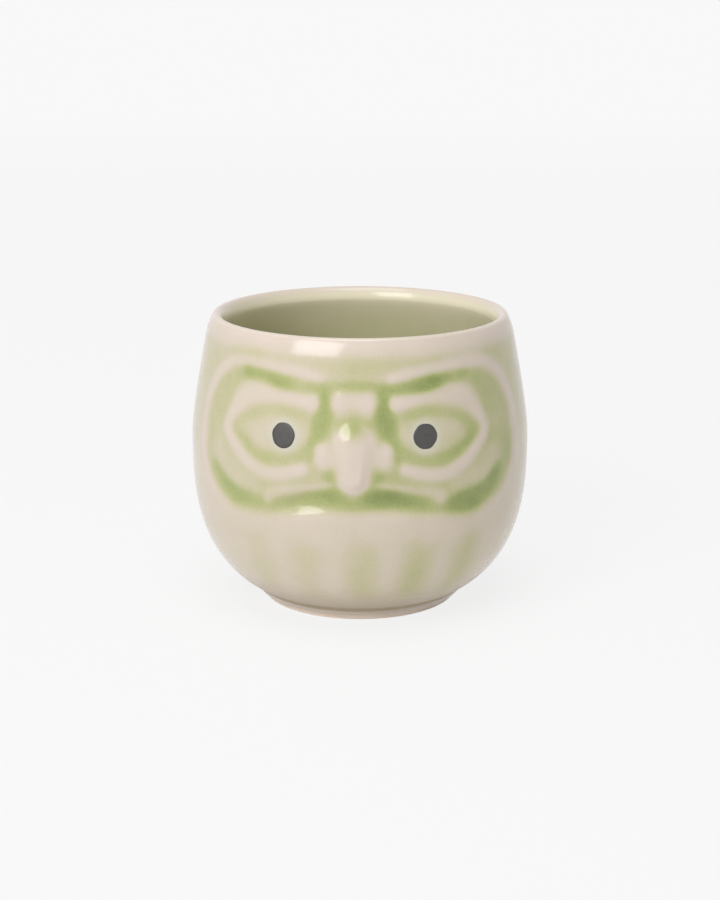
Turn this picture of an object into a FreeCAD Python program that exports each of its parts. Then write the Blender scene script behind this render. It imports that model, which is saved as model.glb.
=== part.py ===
import FreeCAD, Part
import math
import os
from FreeCAD import Vector

# A small porcelain cup in the shape of a daruma doll's head, under a pale green glaze.
# Millimetres and degrees. +Z is up, the face looks along -Y and the origin is the
# centre of the ring that the foot stands on.

# The cup's outline, measured over the glaze.
cup_height = 56.6
belly_radius = 32.9
belly_height = 32.0          # height of the widest ring
belly_squareness = 2.78      # 2 is an ellipse, more is squarer
mouth_radius = 29.2
shoulder_softness = 0.28     # how gently the belly turns in towards the mouth
wall_thickness = 2.8         # two coats of glaze with the clay between them
lip_thickness = 1.7          # at the crest
lip_ease = 0.45              # the outside turns in by this much under the lip
lip_ease_height = 3.2
lip_flare = 35.0             # angle by which the inside opens out under the lip
lip_flare_height = 2.2       # the inside is back on the plain wall this far down
floor_height = 6.0           # the inside floor above the table
cavity_squareness = 3.2

# The foot.
foot_radius = 19.0           # outside of the foot, at the table
foot_lean = 1.3              # how far the foot's side leans out on its way up
foot_step = 1.5              # how far the belly stands out over the foot
foot_step_height = 1.2       # the soft groove under the belly is this high
foot_height = 3.2
foot_ring_width = 2.7
foot_round = 0.4
foot_well_depth = 2.0
foot_well_lean = 0.4
foot_well_fillet = 0.8

# The glaze.
glaze_line = 1.3             # the foot is bare clay below this height
thin_glaze = 0.2             # on the lip, the ridges and everything that stands proud
inside_glaze = 0.5           # on the inside floor, where it runs together
pooled_share = 0.75          # of a hollow's depth, how much the glaze fills up
well_glaze = 0.3
well_glaze_line = 0.7        # the foot well is bare clay below this height

# The sunk face panel. Across is measured round the belly.
panel_half_width = 36.7
panel_shift = 0.9            # the panel sits this far to the right of the nose
forehead_band = 5.2          # between the panel and the lip
robe_height = 22.9           # the panel's lower edge above the table
panel_corner = 12.0
panel_depth = 0.62           # of the clay, below the belly
panel_slope = 2.6            # width of the slope down into the panel
panel_dip = 2.4              # the upper edge sags by this much over the nose
panel_rise = 1.3             # and the lower edge rises by this much under it
panel_middle_width = 13.0    # how far to each side of the nose they do so
surround_depth = 0.35        # of the forehead and the sides, round the panel
surround_width = 16.0        # it runs out over this way behind the panel
ridge_height = 0.12          # the bead round the panel, above the belly
ridge_reach = 2.0            # from the bead's crest to where it has run out
ridge_gap = 4.0              # the bead leaves this much free on each side of the nose

# The features of one half of the face, in the order in which they are pressed; the
# other half is its mirror image. A line's places are (across, up) from the panel's
# centre, each as a share of the panel's half size. A reach is how far a feature spreads
# to each side of its line at each place, and a level is the clay's height above the belly.
stroke_crown = 0.2           # a feature keeps its full level over this share of a reach
frown_valley_line = [(0.0, 0.8), (0.18, 0.77)]
frown_valley_reach = [1.4, 1.8]
frown_valley_level = -0.75
upper_valley_line = [(0.18, 0.77), (0.34, 0.8), (0.5, 0.84), (0.64, 0.88)]
upper_valley_reach = [1.8, 2.8, 2.4, 1.8]
upper_valley_level = -1.05
side_valley_line = [(0.72, 0.8), (0.8, 0.6), (0.83, 0.38)]
side_valley_reach = [2.0, 2.6, 2.6]
side_valley_level = -0.74
lower_valley_line = [
    (0.0, -0.72), (0.15, -0.64), (0.3, -0.74), (0.46, -0.84), (0.62, -0.82), (0.75, -0.69),
    (0.84, -0.47),
]
lower_valley_reach = [1.8, 3.0, 2.0, 2.4, 3.2, 3.0, 2.2]
lower_valley_level = -1.3
cheek_line = [(0.54, -0.55), (0.68, -0.44), (0.79, -0.24)]
cheek_reach = [2.6, 3.4, 3.6]
cheek_level = -0.42
nose_valley_line = [(0.155, 0.73), (0.155, 0.56), (0.16, 0.36), (0.205, 0.08), (0.225, -0.1)]
nose_valley_reach = [1.2, 1.8, 3.0, 2.0, 1.5]
nose_valley_level = -1.25
socket_line = [(0.28, 0.42), (0.45, 0.46), (0.62, 0.32)]
socket_reach = [2.4, 2.6, 2.0]
socket_level = -0.6
upper_lid_line = [(0.26, 0.4), (0.37, 0.44), (0.49, 0.42), (0.6, 0.33), (0.67, 0.22)]
upper_lid_reach = [1.2, 1.4, 1.5, 1.3, 0.9]
upper_lid_level = -0.68
lower_lid_line = [(0.24, -0.05), (0.31, -0.16), (0.42, -0.2), (0.53, -0.13), (0.66, 0.08)]
lower_lid_reach = [1.6, 1.8, 1.9, 1.6, 1.0]
lower_lid_level = -0.85
brow_line = [
    (0.218, 0.56), (0.33, 0.6), (0.44, 0.62), (0.53, 0.63), (0.62, 0.57), (0.69, 0.38),
    (0.735, 0.22),
]
brow_reach = [2.1, 1.8, 2.3, 3.4, 3.7, 2.6, 1.6]
brow_level = 0.0
under_eye_line = [
    (0.26, -0.28), (0.37, -0.36), (0.48, -0.37), (0.58, -0.27), (0.67, -0.1), (0.72, 0.02),
    (0.75, 0.14),
]
under_eye_reach = [1.7, 2.0, 2.1, 2.1, 1.9, 1.7, 1.5]
under_eye_level = 0.0
moustache_line = [(0.12, -0.47), (0.27, -0.54), (0.38, -0.59), (0.445, -0.66), (0.455, -0.74)]
moustache_reach = [0.9, 1.0, 1.3, 1.9, 1.8]
moustache_level = -0.25
lobe_line = [(0.0, 0.57), (0.06, 0.57)]
lobe_reach = [3.2, 3.2]
lobe_level = 0.08
bridge_line = [(0.0, 0.4), (0.0, 0.1)]
bridge_reach = [4.2, 5.2]
bridge_level = -0.12
wing_line = [(0.16, -0.03), (0.145, -0.14)]
wing_reach = [2.4, 2.9]
wing_level = 0.06
tip_line = [(0.0, 0.02), (0.0, -0.12), (0.0, -0.37)]
tip_reach = [5.4, 5.0, 4.1]
tip_level = 0.95

# The eyes, between the socket and the lids.
eye_place = (0.425, 0.15)
eye_half_length = 9.6
eye_half_height = 5.2
eye_softness = 1.2           # how round the almond's back and belly are
eye_level = -0.3
pupil_place = (0.368, 0.13)
pupil_radius = 2.3
pupil_thickness = 0.12
pupil_gap = 0.01             # between the paint and the glaze

# The hollow folds of the robe, pressed into the belly under the face.
fold_count = 5
fold_pitch = 19.5
fold_turn = 2.5              # the middle fold lies this far to one side of the nose
fold_top = 16.5
fold_bottom = 9.0
fold_reach = 5.0
fold_depth = 0.42

# How finely the pressed surfaces are drawn.
column_count = 150
column_crowding = 0.6        # columns stand closer in front and wider behind
lip_pitch = 0.4              # between the rows round the lip and at the foot
face_pitch = 0.75
robe_pitch = 2.2
cavity_places = 9            # on the curve of the cavity's wall
floor_disk_radius = 3.0      # flat middle of the inside floor
trace_steps = 400
stroke_steps = 4             # straight runs between two places of a line
surface_degree = 3
joining_scale = 16

up = Vector(0, 0, 1)
lip_radius = lip_thickness / 2
lip_centre_height = cup_height - lip_radius
foot_top = foot_height - foot_step_height
foot_top_radius = foot_radius + foot_lean
neck_radius = foot_top_radius + foot_step
cavity_radius = belly_radius - wall_thickness
panel_half_height = (cup_height - forehead_band - robe_height) / 2
panel_middle = robe_height + panel_half_height
panel_top = panel_middle + panel_half_height
panel_round = min(panel_corner, panel_half_height, panel_half_width)


def clamp(value):
    """The value, kept between 0 and 1."""
    return max(0.0, min(1.0, value))


def swell(share):
    """1 at share 0, falling in a soft wave to 0 at share 1 and beyond."""
    return (1 + math.cos(math.pi * clamp(share))) / 2


def between(first, last, share):
    """The point at a share of the way from the first to the last."""
    return tuple(a + (b - a) * share for a, b in zip(first, last))


# --- outline -----------------------------------------------------------------------

def superellipse(share, squareness):
    """Width, from 1 down to 0, at a share of the way to a superellipse's end."""
    return max(0.0, 1 - share ** squareness) ** (1 / squareness)


def belly_outline(height):
    """Radius of the glazed outside at a height between the foot and the lip."""
    if height < belly_height:
        neck_share = superellipse(neck_radius / belly_radius, belly_squareness)
        share = neck_share * (belly_height - height) / (belly_height - foot_height)
        return belly_radius * superellipse(share, belly_squareness)
    share = (height - belly_height) / (lip_centre_height - belly_height)
    fall = math.hypot(share, shoulder_softness) - shoulder_softness
    whole_fall = math.hypot(1, shoulder_softness) - shoulder_softness
    return belly_radius - (belly_radius - mouth_radius) * fall / whole_fall


def outside_radius(height):
    """The same, eased inwards under the lip."""
    share = max(0.0, 1 - (lip_centre_height - height) / lip_ease_height)
    return belly_outline(height) - lip_ease * share ** 2


def lean_at(outline, height):
    """Angle by which an outline leans in at a height above the belly."""
    low = max(belly_height, height - lip_radius / 2)
    high = height + lip_radius / 2
    return math.atan2(outline(low) - outline(high), high - low)


lip_lean = lean_at(outside_radius, lip_centre_height)
lip_start = lip_centre_height + lip_radius * math.sin(lip_lean)
lip_centre_radius = outside_radius(lip_start) - lip_radius * math.cos(lip_lean)


def outside_trace():
    """The glazed outline from the crest of the lip down to the glaze line."""
    trace = []
    for step in range(trace_steps + 1):
        angle = math.pi / 2 + (lip_lean - math.pi / 2) * step / trace_steps
        radius = lip_centre_radius + lip_radius * math.cos(angle)
        trace.append((radius, lip_centre_height + lip_radius * math.sin(angle)))
    for step in range(1, trace_steps + 1):
        height = lip_start + (foot_height - lip_start) * step / trace_steps
        trace.append((outside_radius(height), height))
    groove_radius = foot_top_radius + thin_glaze
    for step in range(1, trace_steps + 1):
        share = step / trace_steps
        radius = groove_radius + (neck_radius - groove_radius) * swell(share)
        trace.append((radius, foot_height - foot_step_height * share))
    line_radius = foot_radius + foot_lean * glaze_line / foot_top
    trace.append((line_radius + thin_glaze, glaze_line))
    return trace


def cavity_trace():
    """The glazed outline inside, from under the lip's round down to the floor's disk."""
    trace = []
    for step in range(trace_steps):
        height = lip_start + (belly_height - lip_start) * step / trace_steps
        lean = lean_at(belly_outline, height)
        radius = belly_outline(height) - wall_thickness * math.cos(lean)
        trace.append((radius, height - wall_thickness * math.sin(lean)))
    disk_share = floor_disk_radius / cavity_radius
    last_turn = math.acos(disk_share ** (cavity_squareness / 2))
    for step in range(trace_steps + 1):
        turn = last_turn * step / trace_steps
        radius = cavity_radius * math.cos(turn) ** (2 / cavity_squareness)
        drop = math.sin(turn) ** (2 / cavity_squareness)
        trace.append((radius, belly_height - (belly_height - floor_height) * drop))
    return trace


def along(trace, marks):
    """The points at distances, in rising order, along a traced outline."""
    points = []
    corner = 1
    passed = 0.0
    for mark in marks:
        piece = math.dist(trace[corner - 1], trace[corner])
        while passed + piece < mark and corner < len(trace) - 1:
            passed += piece
            corner += 1
            piece = math.dist(trace[corner - 1], trace[corner])
        points.append(between(trace[corner - 1], trace[corner], (mark - passed) / piece))
    return points


def length_of(trace):
    return sum(math.dist(start, end) for start, end in zip(trace, trace[1:]))


def outward(before, after):
    """The direction square to the way from one point to another, on its left."""
    length = math.dist(before, after)
    return (before[1] - after[1]) / length, (after[0] - before[0]) / length


def row_pitch(height):
    """Distance from a row at a height on the outside down to the next."""
    if height > lip_centre_height or height < foot_height + robe_pitch:
        return lip_pitch
    return face_pitch if height > robe_height - ridge_reach else robe_pitch


def outside_stations():
    """Places down the outside from the lip's crest, each with its outward direction."""
    trace = outside_trace()
    whole = length_of(trace)
    marks = [0.0]
    while marks[-1] < whole:
        height = along(trace, [marks[-1]])[0][1]
        marks.append(marks[-1] + row_pitch(height))
    marks = [mark * whole / marks[-1] for mark in marks]
    before = along(trace, [max(0.0, mark - lip_pitch / 2) for mark in marks])
    after = along(trace, [min(whole, mark + lip_pitch / 2) for mark in marks])
    outs = [(0.0, 1.0)] + [outward(*pair) for pair in zip(before, after)][1:]
    return list(zip(along(trace, marks), outs))


# --- pressed face and robe ------------------------------------------------------------

def on_panel(shares):
    """A place on the face panel in millimetres across and up from its centre."""
    return Vector(shares[0] * panel_half_width, shares[1] * panel_half_height, 0)


def stroke(line, reaches, level):
    """A smooth line through places on the panel, with its reach at each, and its level."""
    marks = [on_panel(place) + up * reach for place, reach in zip(line, reaches)]
    ahead = [marks[0] * 2 - marks[1]] + marks + [marks[-1] * 2 - marks[-2]]
    points = []
    for before, start, end, after in zip(ahead, ahead[1:], ahead[2:], ahead[3:]):
        for step in range(stroke_steps):
            share = step / stroke_steps
            slope = (end - before) * share
            bow = (before * 2 - start * 5 + end * 4 - after) * share ** 2
            turn = (start * 3 - before - end * 3 + after) * share ** 3
            points.append(tuple(start + (slope + bow + turn) * 0.5))
    return points + [tuple(marks[-1])], level


hollows = [
    stroke(frown_valley_line, frown_valley_reach, frown_valley_level),
    stroke(upper_valley_line, upper_valley_reach, upper_valley_level),
    stroke(side_valley_line, side_valley_reach, side_valley_level),
    stroke(lower_valley_line, lower_valley_reach, lower_valley_level),
    stroke(cheek_line, cheek_reach, cheek_level),
    stroke(nose_valley_line, nose_valley_reach, nose_valley_level),
    stroke(socket_line, socket_reach, socket_level),
]
features = [
    stroke(upper_lid_line, upper_lid_reach, upper_lid_level),
    stroke(lower_lid_line, lower_lid_reach, lower_lid_level),
    stroke(brow_line, brow_reach, brow_level),
    stroke(under_eye_line, under_eye_reach, under_eye_level),
    stroke(moustache_line, moustache_reach, moustache_level),
    stroke(lobe_line, lobe_reach, lobe_level),
    stroke(bridge_line, bridge_reach, bridge_level),
    stroke(wing_line, wing_reach, wing_level),
    stroke(tip_line, tip_reach, tip_level),
]


def stroke_strength(line, across, rise):
    """1 on a stroke's centre line, falling softly to 0 at its reach."""
    strength = 0.0
    for start, end in zip(line, line[1:]):
        run = (end[0] - start[0], end[1] - start[1])
        ahead = (across - start[0]) * run[0] + (rise - start[1]) * run[1]
        share = clamp(ahead / (run[0] ** 2 + run[1] ** 2))
        nearest = between(start, end, share)
        gap = math.dist((across, rise), nearest[:2])
        if gap < nearest[2]:
            beyond = (gap / nearest[2] - stroke_crown) / (1 - stroke_crown)
            strength = max(strength, swell(beyond))
    return strength


def eye_strength(across, rise):
    """1 in the middle of the almond-shaped eye, falling to 0 at its lids."""
    centre = on_panel(eye_place)
    long_share = (across - centre.x) / eye_half_length
    short_rise = math.hypot(rise - centre.y, eye_softness) - eye_softness
    return swell(long_share ** 2 + short_rise / eye_half_height)


def inside_panel(across, rise):
    """How far a place lies inside the panel's rounded, curved edge; below 0 outside."""
    shift = panel_dip if rise > 0 else panel_rise
    shift *= math.exp(-(across / panel_middle_width) ** 2)
    rise *= panel_half_height / (panel_half_height - shift)
    side = across - panel_half_width + panel_round
    end = abs(rise) - panel_half_height + panel_round
    corner = math.hypot(max(0.0, side), max(0.0, end))
    return panel_round - corner - min(0.0, max(side, end))


def pressed(level, target, strength):
    """A level drawn towards another: not at all at strength 0, and all the way at 1."""
    return level + (target - level) * strength


def face_level(across, rise):
    """Height of the clay above the belly at a place on or round the face panel."""
    panel_across = abs(across - panel_shift)
    across = abs(across)
    forehead = clamp((rise - panel_half_height) / (lip_centre_height - panel_top))
    beside = (panel_across - panel_half_width) / surround_width
    surround = swell(forehead) * swell(beside) * swell((1 - rise / panel_half_height) / 2)
    level = -surround_depth * surround
    inside = inside_panel(panel_across, rise)
    if inside > 0:
        level = pressed(level, -panel_depth, swell(1 - inside / panel_slope))
        for line, target in hollows:
            level = pressed(level, target, stroke_strength(line, across, rise))
        level = pressed(level, eye_level, eye_strength(across, rise))
        for line, target in features:
            level = pressed(level, target, stroke_strength(line, across, rise))
    bead = swell(abs(inside) / ridge_reach)
    if rise > 0:
        bead *= swell(2 - across / ridge_gap)
    return pressed(level, ridge_height, bead)


def fold_level(angle, radius, height):
    """Height of the clay in the hollow folds below the face."""
    beyond = max(fold_bottom - height, height - fold_top, 0.0)
    deepest = 0.0
    for fold in range(fold_count):
        middle = fold_turn + (fold - (fold_count - 1) / 2) * fold_pitch
        gap = math.hypot(radius * math.radians(angle - middle), beyond)
        deepest = max(deepest, swell(gap / fold_reach))
    return -fold_depth * deepest


def clay_level(angle, radius, height):
    """Height of the pressed clay above the plain outline, at an angle from the nose."""
    level = 0.0
    across = belly_radius * math.radians(angle)
    pressed_width = panel_half_width + panel_shift + surround_width
    if height < lip_centre_height and abs(across) < pressed_width:
        level = face_level(across, height - panel_middle)
    if height < fold_top + fold_reach:
        level += fold_level(angle, radius, height)
    return level


# --- surfaces and solids ----------------------------------------------------------------

def column_angles():
    """Angles from the nose of the columns of a pressed surface, from back to back.

    The first column stands just before the back, because the surface starts and ends
    at its second column.
    """
    angles = []
    for column in range(column_count):
        turn = 2 * math.pi * (column - 1) / column_count - math.pi
        angles.append(math.degrees(turn - column_crowding * math.sin(turn)))
    return angles


columns = column_angles()


def ring_gains():
    """How far outside a round ring each column's pole stands, so that it stays round."""
    gains = []
    for column, angle in enumerate(columns):
        left = math.cos(math.radians(angle - columns[column - 1]))
        right = math.cos(math.radians(columns[(column + 1) % column_count] - angle))
        gains.append(6 / (4 + left + right))
    return gains


gains = ring_gains()


def pressed_surface(rows, lifts):
    """A surface round the cup, lifted off an outline by an amount at each place."""
    poles = []
    for angle, gain, column_lifts in zip(columns, gains, lifts):
        turn = math.radians(angle)
        line = []
        for ((radius, height), (out, rise)), lift in zip(rows, column_lifts):
            lifted = (radius + lift * out) * gain
            x = lifted * math.sin(turn)
            y = -lifted * math.cos(turn)
            line.append(Vector(x, y, height + lift * rise))
        poles.append(line)
    spans = len(rows) - surface_degree
    end = surface_degree + 1
    surface = Part.BSplineSurface()
    surface.buildFromPolesMultsKnots(
        poles,
        [1] * (column_count + 1),
        [end] + [1] * (spans - 1) + [end],
        list(range(column_count + 1)),
        list(range(spans + 1)),
        True,
        False,
        surface_degree,
        surface_degree,
    )
    return surface


def ring(surface, last=False):
    """The first or last row of a pressed surface, as an edge."""
    low, high = surface.bounds()[2:]
    return surface.vIso(high if last else low).toShape()


def closed_solid(faces):
    """One solid from faces that meet at their edges.

    They are joined at a small scale, because the rings that they meet at agree only to
    a few millionths of a millimetre.
    """
    shell = Part.Compound(faces)
    shell.scale(1 / joining_scale)
    shell.sewShape()
    solid = Part.Solid(shell.Shells[0])
    solid.scale(joining_scale)
    if solid.Volume < 0:
        solid.reverse()
    return solid


outside_rows = outside_stations()
levels = [
    [clay_level(angle, radius, height) for (radius, height), _ in outside_rows]
    for angle in columns
]
clay_lifts = [[level - thin_glaze for level in column] for column in levels]
glaze_lifts = [
    [level - pooled_share * min(0.0, level) for level in column] for column in levels
]
clay_outside = pressed_surface(outside_rows, clay_lifts)
glaze_outside = pressed_surface(outside_rows, glaze_lifts)


def back_place(radius, height):
    """A place on the plane behind the cup, where the outlines of turned faces lie."""
    return Vector(0, radius, height)


def arc(centre_radius, centre_height, radius, first_angle, last_angle):
    """An arc on the plane behind the cup, with angles from level, outwards."""
    angles = [first_angle, (first_angle + last_angle) / 2, last_angle]
    return Part.Arc(*[
        back_place(
            centre_radius + radius * math.cos(angle),
            centre_height + radius * math.sin(angle),
        )
        for angle in angles
    ])


def smooth_edge(places, first_way, last_way):
    """A smooth curve through places, which sets off and arrives in given directions."""
    curve = Part.BSplineCurve()
    curve.interpolate(Points=places, InitialTangent=first_way, FinalTangent=last_way)
    return curve.toShape()


def cavity_edges(lip_coat, floor_coat):
    """The inside's outline under a coat of glaze, from the lip's crest to the axis."""
    last_angle = math.pi - math.radians(lip_flare)
    lip = arc(
        lip_centre_radius, lip_centre_height, lip_radius - lip_coat, math.pi / 2, last_angle
    )
    lip_way = back_place(-math.sin(last_angle), math.cos(last_angle))
    trace = cavity_trace()
    whole = length_of(trace)
    marks = [
        lip_flare_height + (whole - lip_flare_height) * row / cavity_places
        for row in range(cavity_places + 1)
    ]
    before = along(trace, [mark - lip_pitch for mark in marks])
    after = along(trace, marks)
    places = []
    for mark, point, (radius, height) in zip(marks, before, after):
        out, rise = outward((radius, height), point)
        coat = lip_coat + (floor_coat - lip_coat) * mark / whole
        places.append(back_place(radius - coat * out, height - coat * rise))
    wall_way = back_place(*after[0]) - back_place(*before[0])
    return [
        lip.toShape(),
        smooth_edge([lip.EndPoint, places[0]], lip_way, wall_way),
        smooth_edge(places, wall_way, back_place(-1, 0)),
        Part.LineSegment(places[-1], up * places[-1].z).toShape(),
    ]


def turned(edges):
    """The faces that an outline sweeps in one turn round the cup's axis."""
    return Part.Wire(edges).revolve(Vector(), up, 360).Faces


def well_radius(height):
    """Radius of the foot well's leaning wall at a height."""
    return foot_radius - foot_ring_width - foot_well_lean * height / foot_well_depth


def well_edges(coat, lowest):
    """The foot well's outline under a coat of glaze, from a height up to the axis."""
    lean = math.atan2(foot_well_lean, foot_well_depth)
    centre_height = foot_well_depth - foot_well_fillet
    centre_radius = well_radius(centre_height) - foot_well_fillet / math.cos(lean)
    start = back_place(well_radius(lowest) - coat / math.cos(lean), lowest)
    bend = arc(centre_radius, centre_height, foot_well_fillet - coat, lean, math.pi / 2)
    return [
        Part.LineSegment(start, bend.StartPoint).toShape(),
        bend.toShape(),
        Part.LineSegment(bend.EndPoint, up * (foot_well_depth - coat)).toShape(),
    ]


def foot_edges():
    """The bare clay's outline from the glaze line down round the foot, and up its well."""
    (radius, height), (out, rise) = outside_rows[-1]
    start = back_place(radius - thin_glaze * out, height - thin_glaze * rise)
    outer_round = arc(foot_radius - foot_round, foot_round, foot_round, 0, -math.pi / 2)
    inner_centre = well_radius(foot_round) + foot_round
    inner_round = arc(inner_centre, foot_round, foot_round, -math.pi / 2, -math.pi)
    return [
        Part.LineSegment(start, outer_round.StartPoint).toShape(),
        outer_round.toShape(),
        Part.LineSegment(outer_round.EndPoint, inner_round.StartPoint).toShape(),
        inner_round.toShape(),
    ] + well_edges(0, foot_round)


def porcelain_body():
    """The clay: its pressed outside, its turned inside and its turned foot."""
    inside = turned(cavity_edges(thin_glaze, inside_glaze))
    return closed_solid([clay_outside.toShape()] + inside + turned(foot_edges()))


def outer_glaze():
    """The glaze on the outside, from the crest of the lip down to the glaze line."""
    crest = Part.makeRuledSurface(ring(clay_outside), ring(glaze_outside))
    line = Part.makeRuledSurface(ring(clay_outside, True), ring(glaze_outside, True))
    return closed_solid([clay_outside.toShape(), glaze_outside.toShape(), crest, line])


def inner_glaze():
    """The glaze on the inside, from the crest of the lip down over the floor."""
    clay = cavity_edges(thin_glaze, inside_glaze)
    glaze = cavity_edges(0, 0)
    crest = Part.LineSegment(clay[0].Vertexes[0].Point, glaze[0].Vertexes[0].Point)
    middle = Part.LineSegment(clay[-1].Vertexes[-1].Point, glaze[-1].Vertexes[-1].Point)
    outline = Part.Wire(Part.__sortEdges__(clay + glaze + [crest.toShape(), middle.toShape()]))
    return Part.Face(outline).revolve(Vector(), up, 360)


def foot_well_glaze():
    """The glaze inside the foot."""
    bare = well_edges(0, well_glaze_line)
    glazed = well_edges(well_glaze, well_glaze_line)
    line = Part.LineSegment(bare[0].Vertexes[0].Point, glazed[0].Vertexes[0].Point)
    middle = Part.LineSegment(bare[-1].Vertexes[-1].Point, glazed[-1].Vertexes[-1].Point)
    outline = Part.Wire(Part.__sortEdges__(bare + glazed + [line.toShape(), middle.toShape()]))
    return Part.Face(outline).revolve(Vector(), up, 360)


def pupil(side):
    """A painted dot on the glaze of the eye at one side, -1 for the cup's left."""
    place = on_panel(pupil_place)
    turn = side * place.x / belly_radius
    height = panel_middle + place.y
    radius = belly_outline(height)
    column, row = glaze_outside.parameter(
        Vector(radius * math.sin(turn), -radius * math.cos(turn), height)
    )
    centre = glaze_outside.value(column, row)
    facing = glaze_outside.normal(column, row)
    if facing.dot(centre) < 0:
        facing = -facing
    patch = glaze_outside.copy()
    columns_across = 2 * pupil_radius / (centre - glaze_outside.value(column + 1, row)).Length
    rows_down = 2 * pupil_radius / (centre - glaze_outside.value(column, row + 1)).Length
    patch.segment(
        column - columns_across, column + columns_across, row - rows_down, row + rows_down
    )
    start = centre - facing * pupil_radius
    punch = Part.makeCylinder(pupil_radius, 2 * pupil_radius, start, facing)
    dot = patch.toShape().common(punch).Faces[0]
    dot.translate(facing * pupil_gap)
    return dot.extrude(facing * pupil_thickness)


def save(name, shape):
    shape.exportStep(os.path.join("parts", name + ".step"))


os.makedirs("parts", exist_ok=True)
save("porcelain_body", porcelain_body())
save("outer_glaze", outer_glaze())
save("inner_glaze", inner_glaze())
save("foot_well_glaze", foot_well_glaze())
save("left_pupil", pupil(-1))
save("right_pupil", pupil(1))
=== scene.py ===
import math

import bmesh
import bpy
import numpy as np
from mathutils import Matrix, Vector, noise
from mathutils.bvhtree import BVHTree


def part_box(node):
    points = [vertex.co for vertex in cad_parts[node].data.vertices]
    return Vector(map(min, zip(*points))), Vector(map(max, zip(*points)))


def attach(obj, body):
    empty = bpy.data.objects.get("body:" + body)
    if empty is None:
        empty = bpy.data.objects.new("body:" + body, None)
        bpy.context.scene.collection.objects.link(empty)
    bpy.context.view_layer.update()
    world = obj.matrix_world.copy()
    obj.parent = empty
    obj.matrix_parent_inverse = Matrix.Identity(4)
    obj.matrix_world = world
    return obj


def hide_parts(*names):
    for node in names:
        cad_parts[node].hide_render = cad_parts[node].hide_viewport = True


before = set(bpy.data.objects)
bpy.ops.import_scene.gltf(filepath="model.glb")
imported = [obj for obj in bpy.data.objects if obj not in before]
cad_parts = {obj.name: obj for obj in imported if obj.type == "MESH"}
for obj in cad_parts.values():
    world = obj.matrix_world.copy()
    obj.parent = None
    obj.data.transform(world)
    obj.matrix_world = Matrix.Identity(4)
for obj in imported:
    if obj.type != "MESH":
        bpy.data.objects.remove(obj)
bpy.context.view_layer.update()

# A celadon cup in the shape of a daruma doll's head. Lengths are in metres, +Z is up and
# the face looks along -Y.
MM = 0.001

# The cup's outline, over the glaze. Its overall sizes come from the frame.
coat_low, coat_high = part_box("outer_glaze")
cup_height = coat_high.z
belly_radius = coat_high.x
belly_height = 32.0 * MM
belly_squareness = 2.78
mouth_radius = 29.2 * MM
shoulder_softness = 0.28
wall_thickness = 2.8 * MM
lip_thickness = 1.7 * MM      # of the clay at the crest, which gives the outside its round
lip_width = 2.5 * MM          # over the glaze, from the outside to where the inside is upright
lip_fall = 3.0 * MM           # how far down the lip has rounded over into the inside
lip_ease = 0.45 * MM          # the outside turns in by this much under the lip
lip_ease_height = 3.2 * MM    # and starts to do so this far under it
lip_blend = 9.0 * MM          # the inside meets the plain wall this far under the lip
floor_glaze = 0.5 * MM        # the glaze's thickness on the floor, where it runs together
floor_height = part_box("inner_glaze")[0].z + floor_glaze
cavity_squareness = 3.2
foot_radius = 19.0 * MM
foot_lean = 1.3 * MM
foot_step = 1.5 * MM
foot_step_height = 1.2 * MM
foot_height = 3.2 * MM
glaze_line = coat_low.z
thin_glaze = 0.2 * MM         # the glaze's thickness where it is thin, as over the foot

# The sunk face panel. Across is measured round the belly.
panel_half_width = 36.7 * MM
panel_shift = 0.9 * MM        # the panel sits this far to the right of the nose
forehead_band = 5.2 * MM
robe_height = 22.9 * MM
panel_corner = 12.0 * MM
panel_depth = 0.62 * MM
panel_slope = 2.6 * MM        # the width of the panel's sloping edge
panel_dip = 2.4 * MM          # its top edge comes down by this much in the middle
panel_rise = 1.3 * MM         # and its lower edge up
panel_middle_width = 13.0 * MM
surround_depth = 0.35 * MM    # the clay beside and above the panel is a little lower
surround_width = 16.0 * MM
ridge_height = 0.12 * MM      # a bead runs along the panel's edge
ridge_reach = 2.0 * MM
ridge_gap = 4.0 * MM          # and stops this far from the middle at the top

stroke_crown = 0.2            # a stroke keeps its full level over this share of its reach

# The strokes that shape half of the face, in the order in which they are pressed. Each
# has places (across, up) as shares of the panel's half size, how far it reaches to the
# sides there in millimetres, and the clay's level above the belly in millimetres.
hollows = {
    "frown_valley": ([(0.0, 0.80), (0.18, 0.77)], [1.4, 1.8], -0.75),
    "upper_valley": (
        [(0.18, 0.77), (0.34, 0.80), (0.50, 0.84), (0.64, 0.88)],
        [1.8, 2.8, 2.4, 1.8],
        -1.05,
    ),
    "side_valley": ([(0.72, 0.80), (0.80, 0.60), (0.83, 0.38)], [2.0, 2.6, 2.6], -0.74),
    "lower_valley": (
        [(0.0, -0.72), (0.15, -0.64), (0.30, -0.74), (0.46, -0.84), (0.62, -0.82),
         (0.75, -0.69), (0.84, -0.47)],
        [1.8, 3.0, 2.0, 2.4, 3.2, 3.0, 2.2],
        -1.3,
    ),
    "cheek": ([(0.54, -0.55), (0.68, -0.44), (0.79, -0.24)], [2.6, 3.4, 3.6], -0.42),
    "nose_valley": (
        [(0.155, 0.73), (0.155, 0.56), (0.16, 0.36), (0.205, 0.08), (0.225, -0.10)],
        [1.2, 1.8, 3.0, 2.0, 1.5],
        -1.25,
    ),
    "socket": ([(0.28, 0.42), (0.45, 0.46), (0.62, 0.32)], [2.4, 2.6, 2.0], -0.6),
}
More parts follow.
